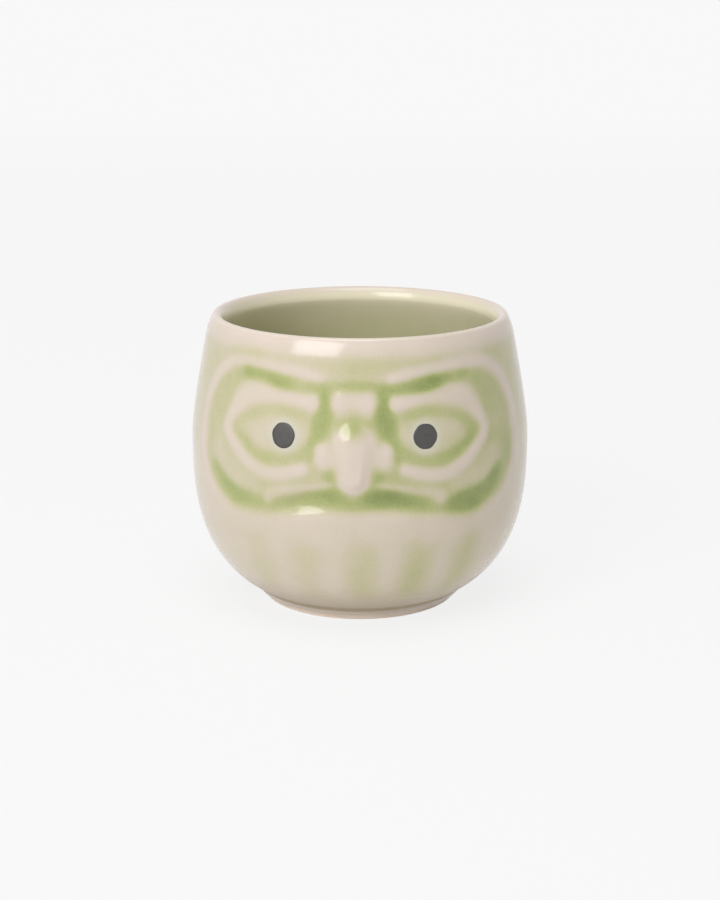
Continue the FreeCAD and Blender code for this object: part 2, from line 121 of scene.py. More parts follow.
features = {
    "upper_lid": (
        [(0.26, 0.40), (0.37, 0.44), (0.49, 0.42), (0.60, 0.33), (0.67, 0.22)],
        [1.2, 1.4, 1.5, 1.3, 0.9],
        -0.68,
    ),
    "lower_lid": (
        [(0.24, -0.05), (0.31, -0.16), (0.42, -0.20), (0.53, -0.13), (0.66, 0.08)],
        [1.6, 1.8, 1.9, 1.6, 1.0],
        -0.85,
    ),
    "brow": (
        [(0.218, 0.56), (0.33, 0.60), (0.44, 0.62), (0.53, 0.63), (0.62, 0.57),
         (0.69, 0.38), (0.735, 0.22)],
        [2.1, 1.8, 2.3, 3.4, 3.7, 2.6, 1.6],
        0.0,
    ),
    "under_eye": (
        [(0.26, -0.28), (0.37, -0.36), (0.48, -0.37), (0.58, -0.27), (0.67, -0.10),
         (0.72, 0.02), (0.75, 0.14)],
        [1.7, 2.0, 2.1, 2.1, 1.9, 1.7, 1.5],
        0.0,
    ),
    "moustache": (
        [(0.12, -0.47), (0.27, -0.54), (0.38, -0.59), (0.445, -0.66), (0.455, -0.74)],
        [0.9, 1.0, 1.3, 1.9, 1.8],
        -0.25,
    ),
    "lobe": ([(0.0, 0.57), (0.06, 0.57)], [3.2, 3.2], 0.08),
    "bridge": ([(0.0, 0.4), (0.0, 0.1)], [4.2, 5.2], -0.12),
    "wing": ([(0.16, -0.03), (0.145, -0.14)], [2.4, 2.9], 0.06),
    "tip": ([(0.0, 0.02), (0.0, -0.12), (0.0, -0.37)], [5.4, 5.0, 4.1], 0.95),
}

# The eyes and the painted dots on them, placed as shares of the panel's half size.
eye_place = (0.425, 0.15)
eye_half_length = 9.6 * MM
eye_half_height = 5.2 * MM
eye_softness = 1.2 * MM
eye_level = -0.3 * MM
pupil_place = (0.368, 0.13)
pupil_radius = 2.3 * MM
paint_sink = 0.03 * MM        # the paint's underside lies this far in the glaze
paint_edge = 0.04 * MM        # its thickness along the edge
paint_crown = 0.072 * MM      # and how much more it has in the middle
paint_wobble = 0.05           # the edge strays by this share of the radius
paint_wave = 700.0            # how quickly it does so, per metre
dark_edge = (0.8, 0.95)       # the shares of the radius between which the edge darkens

# The hollow folds of the robe below the face.
fold_count = 5
fold_pitch = math.radians(19.5)
fold_turn = math.radians(2.5)         # the middle fold stands this far to the right
fold_top = 16.5 * MM
fold_bottom = 9.0 * MM
fold_reach = 5.0 * MM
fold_depth = 0.42 * MM

# How the glaze levels the clay. A number of rounds says how often each point of the
# skin takes on its neighbours' level.
pooled_share = 0.75           # it fills a hollow by this share of the hollow's depth
thin_loss = 0.92              # which falls by this share at the thin places below
lift_rounds = 12
softer_rounds = 40            # that many more at the soft places below
thinning_limit = 0.12 * MM    # it thins by no more than this on what stands proud

# Where the glaze rounds the clay off most: the brows, and the nose's tip. Each place is
# (across, up) as shares of the panel's half size, with its reach in millimetres and how
# far it is rounded.
soft_places = [(0.45, 0.72, 10.0, 1.0), (0.0, -0.25, 9.0, 0.7)]
soft_core = 0.3               # whole over this share of the reach, gone as far beyond it

# Where the glaze is thin, so that the panel's edge stays steep under it, each with its
# reach in millimetres.
thin_places = [(0.25, -0.92, 6.0)]
thin_core = 0.4               # whole over this share of the reach, gone as far beyond it

# How green the glaze is outside, from 0 where it is thin to 1 where it is deepest.
deepest_hollow = 1.3 * MM     # the depth of a hollow that counts as whole
near_rounds = 6
robe_rounds = 34              # that many more in the soft folds
robe_start = robe_height - 2.0 * MM   # they are whole below here
robe_blend = 11.0 * MM        # and gone this far above it
wide_rounds = 110             # for the level all round, which a ridge stands proud of
proud_range = (-0.12, 0.5)    # how low and how high a ridge counts, in whole hollows
plain_green = 0.22            # on the plain belly
hollow_green = 0.62           # what a whole hollow adds
hollow_curve = 0.9            # a hollow counts by this power of its depth
side_green = 0.14             # and how much more it adds on the right than in the middle
side_turn = 0.25              # over about this turn from the middle, in radians
patch_green = 0.13            # and how much cloudy patches add or take
patch_scale = 95.0            # their number per metre
pool_on_plain = 0.3           # a pool's share outside the hollows
ridge_loss = 0.5              # what a ridge takes off
green_limit = 0.6             # what goes over this is drawn in below 1

# The same inside, and along the glaze's edges.
inside_green = 0.84           # well down inside the cup
mouth_loss = 0.56             # what it lacks at the mouth
mouth_run = 11.0 * MM         # and how far down that fades
inside_patch_green = 0.15
rim_outside = 4.4 * MM        # the glaze thins towards the crest from this far under it
rim_inside = 6.5 * MM
rim_green = 0.03              # on the crest itself
thin_edge = 1.2 * MM          # it thins towards its lower edge from this far over it

# Where the glaze ran together in the kiln, or drew back, and one pool of painted shade:
# each place is (across, up) as shares of the panel's half size, with its reach in millimetres
# and how much it adds.
glaze_pools_and_shade = [
    (0.40, 0.80, 6.0, 0.50),
    (0.62, -0.82, 6.5, 0.60),
    (0.15, -0.60, 5.0, 0.24),
    (0.14, 0.36, 4.5, 0.24),
    (-0.42, 0.79, 5.5, 0.32),
    (-0.10, -0.58, 4.0, 0.15),
    (0.01, -0.62, 2.6, -0.10),
    (0.62, -0.42, 6.0, -0.20),
    # painted shade, with greener glaze: darkens the nose's bridge between the eyes
    (0.0, 0.26, 4.2, 2.00),
    (-0.02, 0.62, 4.0, 0.15),
    (-0.60, 1.12, 9.0, 0.50),
    (0.05, 1.05, 9.0, 0.22),
    (-0.04, -1.80, 6.0, 0.12),
    (0.33, -1.80, 6.5, 0.14),
    (0.115, -0.36, 2.6, 0.30),
    (-0.115, -0.36, 2.6, 0.25),
    (-0.62, -1.70, 8.0, -0.18),
]

# Tints in the glaze: greyish round the pupils; toasted over the foot, with painted shade and
# warm bounce light under the belly and the foot's ledge; painted light at the mouth.
halo_strength = 0.75
halo_reach = 1.7 * MM
ledge_shade_height = 2.7 * MM      # the middle of the browner line and painted shadow under the foot's ledge
ledge_shade_width = 1.1 * MM
ledge_shade_strength = 0.3
# painted shade and warm bounce light under the belly, partly a browner thin glaze over the foot
toast_and_shade_strength = 0.62
toast_and_shade_reach = 7.5 * MM
toast_and_shade_start = (0.3 * MM, 1.3 * MM)    # over the glaze line, from none to all of it
mouth_light_run = 14.0 * MM          # how far down the painted light at the mouth fades
mouth_light_start = 1.5 * MM         # from the crest down to where it is whole

lip_radius = lip_thickness / 2
lip_centre_height = cup_height - lip_radius
foot_top = foot_height - foot_step_height
foot_top_radius = foot_radius + foot_lean
neck_radius = foot_top_radius + foot_step
cavity_radius = belly_radius - wall_thickness
panel_half_height = (cup_height - forehead_band - robe_height) / 2
panel_middle = robe_height + panel_half_height
panel_top = panel_middle + panel_half_height


# --- the cup's outline ----------------------------------------------------------------

def swell(share):
    """1 at share 0, falling in a soft wave to 0 at share 1 and beyond."""
    return (1 + np.cos(np.pi * np.clip(share, 0.0, 1.0))) / 2


def superellipse(share, squareness):
    """The height of a squarish quarter circle: 1 at share 0, and 0 at share 1."""
    return max(0.0, 1 - share ** squareness) ** (1 / squareness)


def belly_outline(height):
    """Radius of the glazed outside at a height between the foot and the lip."""
    if height < belly_height:
        neck_share = superellipse(neck_radius / belly_radius, belly_squareness)
        share = neck_share * (belly_height - height) / (belly_height - foot_height)
        return belly_radius * superellipse(share, belly_squareness)
    share = (height - belly_height) / (lip_centre_height - belly_height)
    fall = math.hypot(share, shoulder_softness) - shoulder_softness
    whole_fall = math.hypot(1, shoulder_softness) - shoulder_softness
    return belly_radius - (belly_radius - mouth_radius) * fall / whole_fall


def outside_radius(height):
    """The same, eased inwards under the lip."""
    share = max(0.0, 1 - (lip_centre_height - height) / lip_ease_height)
    return belly_outline(height) - lip_ease * share ** 2


def lean_at(outline, height):
    """How far an outline leans inwards at a height above the belly."""
    low = max(belly_height, height - lip_radius / 2)
    high = height + lip_radius / 2
    return math.atan2(outline(low) - outline(high), high - low)


lip_lean = lean_at(outside_radius, lip_centre_height)
lip_start = lip_centre_height + lip_radius * math.sin(lip_lean)
lip_centre_radius = outside_radius(lip_start) - lip_radius * math.cos(lip_lean)


def outside_outline():
    """The glazed outside, from the glaze line up to the start of the lip's round."""
    line_radius = foot_radius + foot_lean * glaze_line / foot_top
    groove_radius = foot_top_radius + thin_glaze
    points = [(line_radius + thin_glaze, glaze_line)]
    steps = 40
    for step in range(steps):
        share = 1 - step / steps
        radius = groove_radius + (neck_radius - groove_radius) * float(swell(share))
        points.append((radius, foot_height - foot_step_height * share))
    steps = 400
    for step in range(steps + 1):
        height = foot_height + (lip_start - foot_height) * step / steps
        points.append((outside_radius(height), height))
    return points


def lip_outline():
    """The lip: its round outside, and its top that rounds over into the inside."""
    steps = 40
    points = []
    for step in range(steps + 1):
        angle = lip_lean + (math.pi / 2 - lip_lean) * step / steps
        points.append((
            lip_centre_radius + lip_radius * math.cos(angle),
            lip_centre_height + lip_radius * math.sin(angle),
        ))
    for step in range(1, steps + 1):
        turn = math.pi / 2 * step / steps
        points.append((
            lip_centre_radius - (lip_width - lip_radius) * math.sin(turn),
            cup_height - lip_fall * (1 - math.cos(turn)),
        ))
    return points


def wall_place(height):
    """The place on the glazed inside wall across from a height on the outside."""
    lean = lean_at(belly_outline, height)
    return (
        belly_outline(height) - wall_thickness * math.cos(lean),
        height - wall_thickness * math.sin(lean),
    )


def cavity_outline():
    """The glazed inside, from under the lip down over the floor to its middle."""
    steps = 200
    lip_end_radius, lip_end = lip_outline()[-1]
    first = lip_end + wall_thickness * math.sin(lean_at(belly_outline, lip_end))
    flare = lip_end_radius - wall_place(first)[0]
    points = []
    for step in range(1, steps):
        radius, height = wall_place(first + (belly_height - first) * step / steps)
        share = max(0.0, 1 - (lip_end - height) / lip_blend)
        points.append((radius + flare * share ** 2, height))
    for step in range(steps + 1):
        turn = math.pi / 2 * step / steps
        points.append((
            cavity_radius * max(0.0, math.cos(turn)) ** (2 / cavity_squareness),
            belly_height
            - (belly_height - floor_height) * math.sin(turn) ** (2 / cavity_squareness),
        ))
    points[-1] = (0.0, floor_height)
    return points


def evenly(points, pitch):
    """The outline's points, taken again at an even pitch."""
    corners = np.array(points)
    lengths = np.linalg.norm(np.diff(corners, axis=0), axis=1)
    passed = np.concatenate([[0.0], np.cumsum(lengths)])
    count = max(2, round(passed[-1] / pitch) + 1)
    marks = np.linspace(0.0, passed[-1], count)
    return [
        (float(np.interp(m, passed, corners[:, 0])), float(np.interp(m, passed, corners[:, 1])))
        for m in marks
    ]


def eased(points, rounds):
    """The outline's points after each has moved towards its neighbours some times."""
    line = np.array(points)
    for _ in range(rounds):
        line[1:-1] = (line[:-2] + 2 * line[1:-1] + line[2:]) / 4
    return [tuple(point) for point in line.tolist()]


# --- the pressed face -----------------------------------------------------------------

def smooth_line(places, reaches, steps=4):
    """A smooth line through places on the panel, each with its reach."""
    marks = np.array([
        (place[0] * panel_half_width, place[1] * panel_half_height, reach * MM)
        for place, reach in zip(places, reaches)
    ])
    ahead = np.vstack([2 * marks[0] - marks[1], marks, 2 * marks[-1] - marks[-2]])
    line = []
    for a, b, c, d in zip(ahead, ahead[1:], ahead[2:], ahead[3:]):
        for step in range(steps):
            t = step / steps
            line.append(
                (2 * b + (c - a) * t + (2 * a - 5 * b + 4 * c - d) * t ** 2
                 + (3 * b - a - 3 * c + d) * t ** 3) / 2
            )
    return line + [marks[-1]]


def stroke_strength(line, across, rise):
    """1 on a stroke's centre line, falling softly to 0 at its reach."""
    strength = np.zeros_like(across)
    for start, end in zip(line, line[1:]):
        run = end[:2] - start[:2]
        ahead = (across - start[0]) * run[0] + (rise - start[1]) * run[1]
        share = np.clip(ahead / (run @ run), 0.0, 1.0)
        gap = np.hypot(across - start[0] - run[0] * share, rise - start[1] - run[1] * share)
        reach = start[2] + (end[2] - start[2]) * share
        beyond = (gap / reach - stroke_crown) / (1 - stroke_crown)
        strength = np.maximum(strength, swell(beyond))
    return strength


def eye_strength(across, rise):
    """1 in the middle of the almond-shaped eye, falling to 0 at its lids."""
    centre_across = eye_place[0] * panel_half_width
    centre_rise = eye_place[1] * panel_half_height
    long_share = (across - centre_across) / eye_half_length
    short_rise = np.hypot(rise - centre_rise, eye_softness) - eye_softness
    return swell(long_share ** 2 + short_rise / eye_half_height)


def inside_panel(across, rise):
    """How far a place lies inside the panel's rounded, curved edge; below 0 outside."""
    shift = np.where(rise > 0, panel_dip, panel_rise)
    shift = shift * np.exp(-(across / panel_middle_width) ** 2)
    rise = rise * panel_half_height / (panel_half_height - shift)
    side = across - panel_half_width + panel_corner
    end = np.abs(rise) - panel_half_height + panel_corner
    corner = np.hypot(np.maximum(0.0, side), np.maximum(0.0, end))
    return panel_corner - corner - np.minimum(0.0, np.maximum(side, end))


def pressed(level, target, strength):
    """A level drawn towards another: not at all at strength 0, and all the way at 1."""
    return level + (target - level) * strength


def face_level(across, rise):
    """Height of the clay above the belly on and round the face panel."""
    panel_across = np.abs(across - panel_shift)
    across = np.abs(across)
    forehead = (rise - panel_half_height) / (lip_centre_height - panel_top)
    beside = (panel_across - panel_half_width) / surround_width
    surround = swell(forehead) * swell(beside) * swell((1 - rise / panel_half_height) / 2)
    plain = -surround_depth * surround
    inside = inside_panel(panel_across, rise)
    level = pressed(plain, -panel_depth, swell(1 - inside / panel_slope))
    for line, reaches, target in hollows.values():
        strength = stroke_strength(smooth_line(line, reaches), across, rise)
        level = pressed(level, target * MM, strength)
    level = pressed(level, eye_level, eye_strength(across, rise))
    for line, reaches, target in features.values():
        strength = stroke_strength(smooth_line(line, reaches), across, rise)
        level = pressed(level, target * MM, strength)
    level = np.where(inside > 0, level, plain)
    bead = swell(np.abs(inside) / ridge_reach)
    bead = np.where(rise > 0, bead * swell(2 - across / ridge_gap), bead)
    return pressed(level, ridge_height, bead)


def fold_level(angle, radius, height):
    """Height of the clay in the hollow folds below the face."""
    beyond = np.maximum(np.maximum(fold_bottom - height, height - fold_top), 0.0)
    deepest = np.zeros_like(angle)
    for fold in range(fold_count):
        middle = fold_turn + (fold - (fold_count - 1) / 2) * fold_pitch
        gap = np.hypot(radius * (angle - middle), beyond)
        deepest = np.maximum(deepest, swell(gap / fold_reach))
    return -fold_depth * deepest


def clay_level(angle, radius, height):
    """Height of the pressed clay above the plain outline."""
    return face_level(belly_radius * angle, height - panel_middle) + fold_level(
        angle, radius, height
    )


def gap_from(place, angle, height):
    """How far points on the belly lie from a place on the panel."""
    return np.hypot(
        belly_radius * angle - place[0] * panel_half_width,
        height - panel_middle - place[1] * panel_half_height,
    )


# --- helpers for nodes ----------------------------------------------------------------

def new_material(name):
    """An empty material with its node tree and its shader."""
    material = bpy.data.materials.new(name)
    material.use_nodes = True
    tree = material.node_tree
    tree.nodes.clear()
    output = tree.nodes.new("ShaderNodeOutputMaterial")
    shader = tree.nodes.new("ShaderNodeBsdfPrincipled")
    tree.links.new(shader.outputs["BSDF"], output.inputs["Surface"])
    return material, tree, shader


def srgb(red, green, blue):
    """A colour given in screen values from 0 to 255, as linear light."""
    def linear(value):
        value /= 255
        return value / 12.92 if value <= 0.04045 else ((value + 0.055) / 1.055) ** 2.4
    return (linear(red), linear(green), linear(blue), 1.0)


def ramp(tree, factor, stops):
    """Colours that a factor runs through, each with its place from 0 to 1."""
    node = tree.nodes.new("ShaderNodeValToRGB")
    tree.links.new(factor, node.inputs["Fac"])
    elements = node.color_ramp.elements
    elements[0].position, elements[0].color = stops[0]
    elements[1].position, elements[1].color = stops[-1]
    for position, colour in stops[1:-1]:
        element = elements.new(position)
        element.color = colour
    return node.outputs["Color"]


def maths(tree, operation, first, second=None, third=None, clamp=False):
    node = tree.nodes.new("ShaderNodeMath")
    node.operation = operation
    node.use_clamp = clamp
    for socket, value in zip(node.inputs, (first, second, third)):
        if isinstance(value, (int, float)):
            socket.default_value = value
        elif value is not None:
            tree.links.new(value, socket)
    return node.outputs["Value"]


def blend_colours(tree, factor, first, second):
    node = tree.nodes.new("ShaderNodeMix")
    node.data_type = "RGBA"
    for name, value in (("Factor_Float", factor), ("A_Color", first), ("B_Color", second)):
        socket = next(s for s in node.inputs if s.identifier == name)
        if isinstance(value, (int, float, tuple)):
            socket.default_value = value
        else:
            tree.links.new(value, socket)
    return next(s for s in node.outputs if s.identifier == "Result_Color")


def noise_field(tree, place, scale, detail=3.0, roughness=0.5):
    node = tree.nodes.new("ShaderNodeTexNoise")
    node.inputs["Scale"].default_value = scale
    node.inputs["Detail"].default_value = detail
    node.inputs["Roughness"].default_value = roughness
    tree.links.new(place, node.inputs["Vector"])
    return node.outputs["Fac"]


def around_zero(tree, field, amount):
    """A noise field, brought to run from minus half the amount to plus half."""
    return maths(tree, "MULTIPLY_ADD", field, amount, -amount / 2)


def attribute(tree, name):
    node = tree.nodes.new("ShaderNodeAttribute")
    node.attribute_name = name
    return node.outputs["Fac"]


def object_place(tree):
    return tree.nodes.new("ShaderNodeTexCoord").outputs["Object"]


def bump(tree, shader, layers):
    """Bumps from several fields, each with its height in metres."""
    normal = None
    for field, height in layers:
        node = tree.nodes.new("ShaderNodeBump")
        node.inputs["Strength"].default_value = 1.0
        node.inputs["Distance"].default_value = height
        tree.links.new(field, node.inputs["Height"])
        if normal is not None:
            tree.links.new(normal, node.inputs["Normal"])
        normal = node.outputs["Normal"]
    tree.links.new(normal, shader.inputs["Normal"])


def specks(tree, place, scale, size, share):
    """1 inside a few small round specks, one at most in each cell of a scale."""
    fade = 1.4                # a speck fades out at this many times its size
    node = tree.nodes.new("ShaderNodeTexVoronoi")
    node.inputs["Scale"].default_value = scale
    tree.links.new(place, node.inputs["Vector"])
    split = tree.nodes.new("ShaderNodeSeparateColor")
    tree.links.new(node.outputs["Color"], split.inputs["Color"])
    chosen = maths(tree, "LESS_THAN", split.outputs["Red"], share)
    core = maths(tree, "MULTIPLY_ADD", node.outputs["Distance"], -1 / size, fade, clamp=True)
    return maths(tree, "MULTIPLY", core, chosen)


# --- finishes -------------------------------------------------------------------------

glaze_roughness = 0.14
toast_dryness = 0.45          # what the toasted glaze over the foot adds to that


def celadon(name, even_pool=None):
    """Pale green glaze: pinkish and thin on what stands proud, green where it pools.

    How deep it stands comes from the piece's own attribute, or is the same all over.
    """
    material, tree, shader = new_material(name)
    place = object_place(tree)
    mottle = noise_field(tree, place, 210.0, detail=4.0, roughness=0.6)
    drift = noise_field(tree, place, 60.0, detail=2.0)
    grain = noise_field(tree, place, 2200.0, detail=2.0, roughness=0.7)
    pool = even_pool if even_pool is not None else attribute(tree, "pool")
    pool = maths(tree, "ADD", pool, around_zero(tree, mottle, 0.26))
    pool = maths(tree, "ADD", pool, around_zero(tree, drift, 0.22))
    pool = maths(tree, "ADD", pool, around_zero(tree, grain, 0.2), clamp=True)
    colour = ramp(tree, pool, [
        (0.0, srgb(217, 202, 190)),
        (0.25, srgb(209, 197, 178)),
        (0.5, srgb(194, 188, 150)),
        (0.75, srgb(170, 175, 116)),
        (1.0, srgb(136, 149, 84)),
    ])
    if even_pool is None:
        # The mouth tint is painted light on the lip and the inside under the mouth; the foot
        # tint is a browner glaze with painted shade and warm bounce light under the belly and a
        # painted shadow under the foot's ledge.
        for tint, tint_colour in (
            ("painted_mouth_light", srgb(244, 236, 208)),
            ("halo", srgb(204, 202, 186)),
            ("toast_and_shade", srgb(160, 140, 106)),
        ):
            colour = blend_colours(tree, attribute(tree, tint), colour, tint_colour)
        # The glaze is drier where the foot drew its heat.
        dryness = maths(
            tree, "MULTIPLY_ADD", attribute(tree, "toast_and_shade"), toast_dryness, glaze_roughness
        )
        tree.links.new(dryness, shader.inputs["Roughness"])
    else:
        shader.inputs["Roughness"].default_value = glaze_roughness
    iron = specks(tree, place, scale=230.0, size=0.05, share=0.05)
    colour = blend_colours(tree, iron, colour, srgb(136, 118, 90))
    tree.links.new(colour, shader.inputs["Base Color"])
    shader.inputs["IOR"].default_value = 1.5
    pinhole = specks(tree, place, scale=310.0, size=0.06, share=0.12)
    bump(tree, shader, [
        (noise_field(tree, place, 90.0, detail=1.0), 0.17 * MM),
        (noise_field(tree, place, 520.0, detail=2.0), 0.02 * MM),
        (maths(tree, "SUBTRACT", 1.0, pinhole), 0.03 * MM),
    ])
    return material


def bare_porcelain():
    """Unglazed, fired clay: matt, warm and pinkish, with a fine grain."""
    material, tree, shader = new_material("bare_porcelain")
    place = object_place(tree)
    grain = noise_field(tree, place, 1300.0, detail=5.0, roughness=0.7)
    cloud = noise_field(tree, place, 120.0)
    mixed = maths(tree, "ADD", around_zero(tree, grain, 0.5), around_zero(tree, cloud, 0.5))
    mixed = maths(tree, "ADD", mixed, 0.5)
    colour = ramp(tree, mixed, [(0.3, srgb(240, 220, 203)), (0.7, srgb(249, 236, 223))])
    iron = specks(tree, place, scale=600.0, size=0.09, share=0.08)
    colour = blend_colours(tree, iron, colour, srgb(122, 92, 66))
    tree.links.new(colour, shader.inputs["Base Color"])
    shader.inputs["Roughness"].default_value = 0.7
    bump(tree, shader, [(cloud, 0.05 * MM), (grain, 0.02 * MM)])
    return material


def pupil_paint():
    """Black overglaze paint: satin, streaked by the brush and darkest along its edge."""
    material, tree, shader = new_material("pupil_paint")
    place = object_place(tree)
    smear = noise_field(tree, place, 900.0, detail=4.0, roughness=0.6)
    face = ramp(tree, smear, [(0.3, srgb(42, 38, 36)), (0.75, srgb(58, 54, 51))])
    colour = blend_colours(tree, attribute(tree, "edge"), face, srgb(42, 35, 31))
    tree.links.new(colour, shader.inputs["Base Color"])
    shader.inputs["Roughness"].default_value = 0.5
    shader.inputs["Specular IOR Level"].default_value = 1.0
    bump(tree, shader, [(smear, 0.01 * MM)])
    return material


# --- helpers for pieces ---------------------------------------------------------------

def finished(name, mesh_maker, material):
    """A new object at the origin from a bmesh, smooth and with its finish."""
    mesh = bpy.data.meshes.new(name)
    mesh_maker.to_mesh(mesh)
    mesh_maker.free()
    piece = bpy.data.objects.new(name, mesh)
    bpy.context.scene.collection.objects.link(piece)
    mesh.shade_smooth()
    mesh.materials.append(material)
    return piece


def store(mesh, name, values):
    """Keeps a number for every corner point of a mesh, for its finish to read."""
    layer = mesh.attributes.new(name, "FLOAT", "POINT")
    layer.data.foreach_set("value", np.asarray(values, np.float32))


def spread(mesh, values, rounds):
    """The values after each point has taken the mean of its neighbours some times."""
    ends = np.empty(2 * len(mesh.edges), np.int32)
    mesh.edges.foreach_get("vertices", ends)
    here = np.concatenate([ends[0::2], ends[1::2]])
    there = np.concatenate([ends[1::2], ends[0::2]])
    count = np.bincount(here, minlength=len(values))
    for _ in range(rounds):
        around = np.bincount(here, weights=values[there], minlength=len(values)) / count
        values = (values + around) / 2
    return values


# --- the glazed skin ------------------------------------------------------------------

BURIED, OUTSIDE, LIP, INSIDE = range(4)     # the parts of its outline

column_count = 360
column_crowding = 0.4         # the columns stand closer on the face than at the back
outside_pitch = 0.42 * MM
lip_pitch = 0.25 * MM
inside_pitch = 0.5 * MM
round_count = 16              # this many points of the lip's outer round stay as they are
join_rounds = 12              # and the rest are eased into the inside in so many rounds
fine_count = 18               # this many rows stay inside, under the lip
row_step = 3                  # and one in three below them

# The skin is closed by a face that is buried in the clay of the foot.
buried_height = 4.0 * MM
buried_rim_radius = 13.0 * MM
buried_rim_height = 3.8 * MM
buried_inset = 0.6 * MM
buried_lean = 0.3 * MM
buried_rise = 1.2 * MM


def coat_outline():
    """The skin's outline, and the part of it that each point is on."""
    buried_radius = foot_radius - buried_inset
    buried = [
        (0.0, buried_height),
        (buried_rim_radius, buried_rim_height),
        (buried_radius, glaze_line + buried_rise),
        (buried_radius + buried_lean, glaze_line),
    ]
    outside = evenly(outside_outline(), outside_pitch)
    lip = evenly(lip_outline(), lip_pitch)[1:]
    inside = evenly(cavity_outline(), inside_pitch)
    over = eased(lip[round_count:] + inside, join_rounds)
    lip = lip[:round_count] + over[:-len(inside)]
    inside = over[-len(inside):]
    inside = inside[:fine_count] + inside[fine_count:-1:row_step] + inside[-1:]
    stretches = ((BURIED, buried), (OUTSIDE, outside), (LIP, lip), (INSIDE, inside))
    outline = [point for _, points in stretches for point in points]
    parts = [part for part, points in stretches for _ in points]
    return outline, parts


def spun_coat(outline, parts):
    """The skin in the round; each point knows which part of the outline it is on."""
    coat = bmesh.new()
    layer = coat.verts.layers.int.new("part")
    points = []
    for (radius, height), part in zip(outline, parts):
        point = coat.verts.new((0.0, -radius, height))
        point[layer] = part
        points.append(point)
    edges = [coat.edges.new(pair) for pair in zip(points, points[1:])]
    bmesh.ops.spin(
        coat, geom=points + edges, cent=(0, 0, 0), axis=(0, 0, 1),
        angle=2 * math.pi, steps=column_count, use_merge=True, use_normal_flip=False,
    )
    bmesh.ops.remove_doubles(coat, verts=coat.verts, dist=0.001 * MM)
    bmesh.ops.recalc_face_normals(coat, faces=coat.faces)
    coat.normal_update()
    return coat


def glaze_lift(mesh, level, angle, height):
    """How far the glaze's surface stands off the plain outline."""
    filled = np.full_like(level, pooled_share)
    for across, up, reach in thin_places:
        gap = gap_from((across, up), np.abs(angle), height)
        filled -= thin_loss * pooled_share * swell(gap / (reach * MM) - thin_core)
    lift = spread(mesh, level - filled * np.minimum(0.0, level), lift_rounds)
    softer = spread(mesh, lift, softer_rounds)
    for across, up, reach, amount in soft_places:
        gap = gap_from((across, up), np.abs(angle), height)
        lift += (softer - lift) * amount * swell(gap / (reach * MM) - soft_core)
    return np.maximum(lift, level - thinning_limit)


def kiln_patches(mesh):
    """Cloudy patches from about -1 to 1 over the points of a mesh."""
    places = np.empty(3 * len(mesh.vertices))
    mesh.vertices.foreach_get("co", places)
    return np.array([
        noise.noise(Vector(place) * patch_scale) for place in places.reshape(-1, 3)
    ])


def outside_depth(mesh, level, angle, height, patches):
    """How deep the glaze stands outside: deep in the hollows, thin on the ridges."""
    near = spread(mesh, level, near_rounds)
    soft = spread(mesh, near, robe_rounds)
    near = near + (soft - near) * swell((height - robe_start) / robe_blend)
    wide = spread(mesh, level, wide_rounds)
    sunk = np.clip(-near / deepest_hollow, 0.0, 1.0)
    proud = np.clip((near - wide) / deepest_hollow, *proud_range)
    # The pools include painted shade over the nose's bridge.
    pools_and_shade = np.zeros_like(level)
    for across, up, reach, gain in glaze_pools_and_shade:
        pools_and_shade += gain * swell(gap_from((across, up), angle, height) / (reach * MM))
    full = hollow_green + side_green * np.tanh(angle / side_turn) + patch_green * patches
    depth = plain_green + full * sunk ** hollow_curve - ridge_loss * proud
    depth += pools_and_shade * (pool_on_plain + (1 - pool_on_plain) * sunk)
    room = 1 - green_limit
    drawn_in = green_limit + room * np.tanh((depth - green_limit) / room)
    return np.where(depth > green_limit, drawn_in, depth)


def glaze_depth(mesh, level, part, angle, height):
    """How deep the glaze stands, from 0 on the lip and the ridges to 1 in the hollows."""
    patches = kiln_patches(mesh)
    down = cup_height - height
    inside = inside_green - mouth_loss * np.exp(-down / mouth_run)
    inside += inside_patch_green * patches
    outside = outside_depth(mesh, level, angle, height, patches)
    depth = np.where(part == INSIDE, inside, outside)
    rim = swell(down / np.where(part == INSIDE, rim_inside, rim_outside))
    edge = swell((height - glaze_line) / thin_edge)
    return np.clip(depth * (1 - rim) * (1 - edge) + rim_green * rim, 0.0, 1.0)


def store_tints(mesh, part, angle, height):
    """Keeps how greyish and toasted the glaze is at each point, with painted shade and warm
    bounce light under the belly, a painted shadow under the foot's ledge, and painted light on
    the lip and the inside under the mouth.
    """
    gap = gap_from(pupil_place, np.abs(angle), height) - pupil_radius
    halo = halo_strength * swell(gap / halo_reach)
    # a painted shadow under the foot's ledge, along a browner line of glaze
    ledge_shade = swell(np.abs(height - ledge_shade_height) / ledge_shade_width)
    # painted shade and warm bounce light under the belly, partly a browner thin glaze over the
    # foot
    toast_and_shade = toast_and_shade_strength * swell((height - ledge_shade_height) / toast_and_shade_reach)
    toast_and_shade += ledge_shade_strength * ledge_shade
    toast_and_shade *= np.interp(height - glaze_line, toast_and_shade_start, (0.0, 1.0))
    down = cup_height - height
    # painted light on the lip and the inside under the mouth, fading downwards
    painted_mouth_light = np.exp(-down / mouth_light_run) * np.clip(down / mouth_light_start, 0.0, 1.0)
    store(mesh, "halo", np.where(part == INSIDE, 0.0, halo))
    store(mesh, "toast_and_shade", np.where(part == INSIDE, 0.0, np.minimum(1.0, toast_and_shade)))
    store(mesh, "painted_mouth_light", np.where(part >= LIP, painted_mouth_light, 0.0))


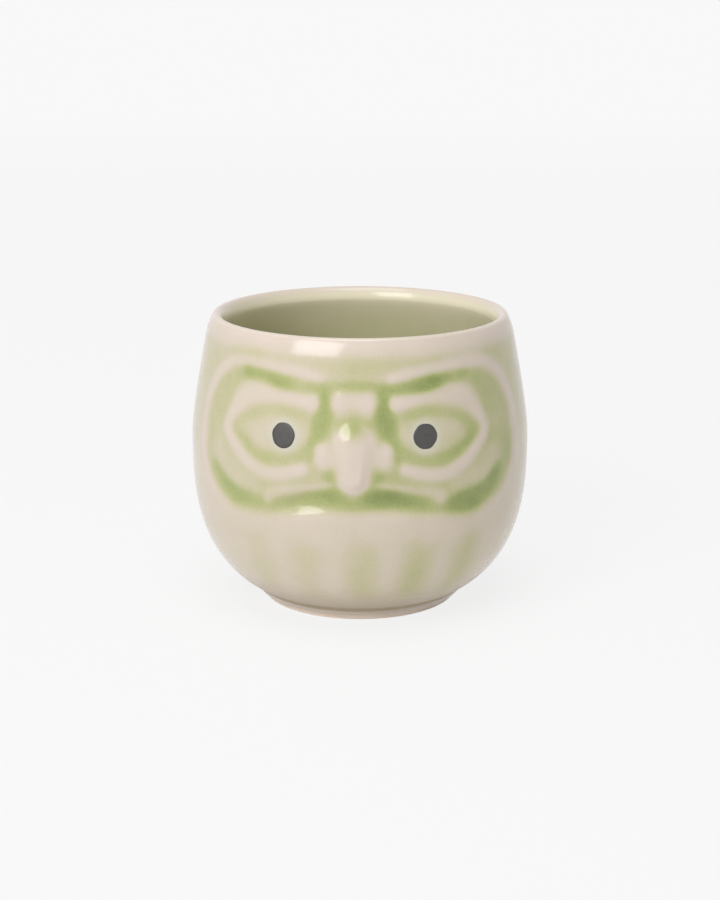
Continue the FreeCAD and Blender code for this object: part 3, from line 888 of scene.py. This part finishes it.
def glaze_coat(glaze):
    """The cup as it is seen: one glazed skin, pressed with the face and the folds."""
    coat = spun_coat(*coat_outline())
    places = np.array([vertex.co for vertex in coat.verts])
    normals = np.array([vertex.normal for vertex in coat.verts])
    turn = np.arctan2(places[:, 0], -places[:, 1])
    angle = turn - column_crowding * np.sin(turn)
    radius = np.hypot(places[:, 0], places[:, 1])
    height = places[:, 2]
    piece = finished("celadon_coat", coat, glaze)
    mesh = piece.data
    part = np.empty(len(mesh.vertices), np.int32)
    mesh.attributes["part"].data.foreach_get("value", part)
    mesh.attributes.remove(mesh.attributes["part"])
    level = np.where(part == OUTSIDE, clay_level(angle, radius, height), 0.0)
    lift = glaze_lift(mesh, level, angle, height)
    out = normals[:, 0] * np.sin(turn) - normals[:, 1] * np.cos(turn)
    moved_radius = radius + lift * out
    moved_height = height + lift * normals[:, 2]
    moved = np.stack([
        moved_radius * np.sin(angle), -moved_radius * np.cos(angle), moved_height
    ], axis=1)
    mesh.vertices.foreach_set("co", moved.ravel())
    mesh.update()
    store(mesh, "pool", glaze_depth(mesh, level, part, angle, height))
    store_tints(mesh, part, angle, height)
    return piece


# --- the pupils -----------------------------------------------------------------------

def surface_of(piece):
    """The surface of a piece, for laying other pieces on it."""
    scratch = bmesh.new()
    scratch.from_mesh(piece.data)
    tree = BVHTree.FromBMesh(scratch)
    scratch.free()
    return tree


def pupil(side, glaze_surface, paint):
    """A dot of paint on one eye, laid on the glaze with a thin, uneven edge."""
    angle = side * pupil_place[0] * panel_half_width / belly_radius
    height = panel_middle + pupil_place[1] * panel_half_height
    facing = Vector((math.sin(angle), -math.cos(angle), 0.0))
    across = Vector((math.cos(angle), math.sin(angle), 0.0))
    standoff = 1.5            # in belly radii: the paint is laid on from outside
    start = Vector((0.0, 0.0, height)) + facing * belly_radius * standoff
    side_count, ring_count, crown_squareness = 64, 9, 8
    dot = bmesh.new()
    bmesh.ops.create_circle(dot, cap_ends=True, segments=side_count, radius=pupil_radius)
    for _ in range(ring_count):
        bmesh.ops.inset_region(
            dot, faces=[face for face in dot.faces if len(face.verts) > 4],
            thickness=pupil_radius / (ring_count + 1), use_boundary=True,
        )
    bmesh.ops.poke(dot, faces=[face for face in dot.faces if len(face.verts) > 4])
    below = list(dot.verts)
    raised = bmesh.ops.extrude_face_region(dot, geom=list(dot.faces))
    above = [item for item in raised["geom"] if isinstance(item, bmesh.types.BMVert)]
    shares = {}
    for vertex in below + above:
        x, y = vertex.co.x, vertex.co.y
        share = min(1.0, math.hypot(x, y) / pupil_radius)
        shares[vertex] = share
        # The two dots read the waves at different places, so their edges differ.
        wave = Vector((x * paint_wave + side * 7.3, y * paint_wave, side * 2.1))
        stray = 1 + paint_wobble * noise.noise(wave)
        flat = start + across * x * stray + Vector((0, 0, y * stray))
        hit, normal, _, _ = glaze_surface.ray_cast(flat, -facing)
        vertex.co = hit - normal * paint_sink
        if vertex in above:
            vertex.co += normal * (paint_edge + paint_crown * (1 - share ** crown_squareness))
    bmesh.ops.recalc_face_normals(dot, faces=dot.faces)
    dot.verts.index_update()
    edge = np.zeros(len(dot.verts))
    for vertex, share in shares.items():
        edge[vertex.index] = np.interp(share, dark_edge, (0.0, 1.0))
    piece = finished("right_pupil_paint" if side > 0 else "left_pupil_paint", dot, paint)
    store(piece.data, "edge", edge)
    return piece


# --- putting the cup together ---------------------------------------------------------

coat = glaze_coat(celadon("celadon_glaze"))
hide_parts("outer_glaze", "inner_glaze")
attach(coat, "root")
glaze_surface = surface_of(coat)
paint = pupil_paint()
for side, node in ((-1, "left_pupil"), (1, "right_pupil")):
    dot = pupil(side, glaze_surface, paint)
    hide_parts(node)
    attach(dot, "root")

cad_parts["porcelain_body"].data.materials[0] = bare_porcelain()
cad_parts["foot_well_glaze"].data.materials[0] = celadon("underfoot_glaze", 0.35)


# --- the studio -----------------------------------------------------------------------

seen_white = 0.945            # how bright the camera sees the sweep and the room
room_light = 0.47             # and how bright the room lights the cup

# The photograph's camera, from its fit to the cup's rim, foot and outline.
camera_distance = 346.19 * MM
camera_height = 119.95 * MM
camera_turn = math.radians(2.0)
camera_pitch = math.radians(14.783)
sensor_width = 36.0           # in millimetres, as Blender counts lenses
lens_length = 72.47


def seen_ray(tree):
    """1 for what the camera sees, straight or in a reflection, and 0 for its light."""
    light_path = tree.nodes.new("ShaderNodeLightPath")
    seen = light_path.outputs["Is Camera Ray"]
    for kind in ("Is Glossy Ray", "Is Transmission Ray"):
        seen = maths(tree, "MAXIMUM", seen, light_path.outputs[kind])
    return seen


def pale_sweep():
    """A pale sweep under and behind the cup."""
    front, depth, half_width, bend, top = -1.0, 1.2, 3.0, 0.4, 2.5
    bend_steps = 8
    near_glow, far_glow = 0.86, 0.99      # how far it shows as plain white
    sweep = bmesh.new()
    line = [(front, 0.0), (depth, 0.0)]
    for step in range(1, bend_steps + 1):
        turn = math.pi / 2 * step / bend_steps
        line.append((depth + bend * math.sin(turn), bend - bend * math.cos(turn)))
    line.append((depth + bend, top))
    points = [sweep.verts.new((-half_width, y, z)) for y, z in line]
    edges = [sweep.edges.new(pair) for pair in zip(points, points[1:])]
    moved = bmesh.ops.extrude_edge_only(sweep, edges=edges)
    verts = [item for item in moved["geom"] if isinstance(item, bmesh.types.BMVert)]
    bmesh.ops.translate(sweep, verts=verts, vec=(2 * half_width, 0, 0))
    bmesh.ops.recalc_face_normals(sweep, faces=sweep.faces)
    material, tree, shader = new_material("pale_sweep")
    shader.inputs["Base Color"].default_value = (0.9, 0.9, 0.9, 1.0)
    shader.inputs["Roughness"].default_value = 0.9
    shader.inputs["Specular IOR Level"].default_value = 0.0
    seen = seen_ray(tree)
    glow = tree.nodes.new("ShaderNodeEmission")
    glow.inputs["Color"].default_value = (seen_white, seen_white, seen_white, 1.0)
    mix = tree.nodes.new("ShaderNodeMixShader")
    split = tree.nodes.new("ShaderNodeSeparateXYZ")
    tree.links.new(object_place(tree), split.inputs["Vector"])
    behind = maths(tree, "MULTIPLY", split.outputs["Y"], 1 / depth, clamp=True)
    glowing = maths(tree, "MULTIPLY_ADD", behind, far_glow - near_glow, near_glow)
    tree.links.new(maths(tree, "MULTIPLY", seen, glowing), mix.inputs["Fac"])
    tree.links.new(shader.outputs["BSDF"], mix.inputs[1])
    tree.links.new(glow.outputs["Emission"], mix.inputs[2])
    output = next(node for node in tree.nodes if node.type == "OUTPUT_MATERIAL")
    tree.links.new(mix.outputs["Shader"], output.inputs["Surface"])
    finished("pale_sweep", sweep, material)


def camera():
    """The photograph's camera."""
    data = bpy.data.cameras.new("camera")
    data.sensor_width = sensor_width
    data.lens = lens_length
    data.clip_start = 0.01
    data.clip_end = 20.0
    seat = bpy.data.objects.new("camera", data)
    seat.location = (
        camera_distance * math.sin(camera_turn),
        -camera_distance * math.cos(camera_turn),
        camera_height,
    )
    seat.rotation_euler = (math.pi / 2 - camera_pitch, 0.0, camera_turn)
    bpy.context.scene.collection.objects.link(seat)
    bpy.context.scene.camera = seat


def softbox(name, azimuth, elevation, distance, width, height, watts):
    """A lamp that faces the cup, so many degrees left of the camera and up."""
    middle = Vector((0.0, 0.0, cup_height / 2))
    turn = camera_turn - math.radians(azimuth)
    rise = math.radians(elevation)
    away = Vector((
        math.cos(rise) * math.sin(turn), -math.cos(rise) * math.cos(turn), math.sin(rise)
    ))
    lamp = bpy.data.lights.new(name, "AREA")
    lamp.shape = "RECTANGLE"
    lamp.size = width
    lamp.size_y = height
    lamp.energy = watts
    box = bpy.data.objects.new(name, lamp)
    box.location = middle + away * distance
    box.rotation_euler = away.to_track_quat("Z", "Y").to_euler()
    bpy.context.scene.collection.objects.link(box)


def soft_room():
    """An even, pale room round the cup."""
    world = bpy.data.worlds.new("soft_room")
    bpy.context.scene.world = world
    world.use_nodes = True
    tree = world.node_tree
    sky = tree.nodes["Background"]
    sky.inputs["Color"].default_value = (1.0, 1.0, 1.0, 1.0)
    strength = maths(tree, "MULTIPLY_ADD", seen_ray(tree), seen_white - room_light, room_light)
    tree.links.new(strength, sky.inputs["Strength"])


pale_sweep()
camera()
softbox("window", azimuth=33, elevation=31, distance=0.9, width=0.5, height=0.42, watts=3.4)
softbox("ceiling", azimuth=20, elevation=78, distance=1.2, width=0.8, height=0.8, watts=5.0)
soft_room()
bpy.context.scene.view_settings.view_transform = "Standard"
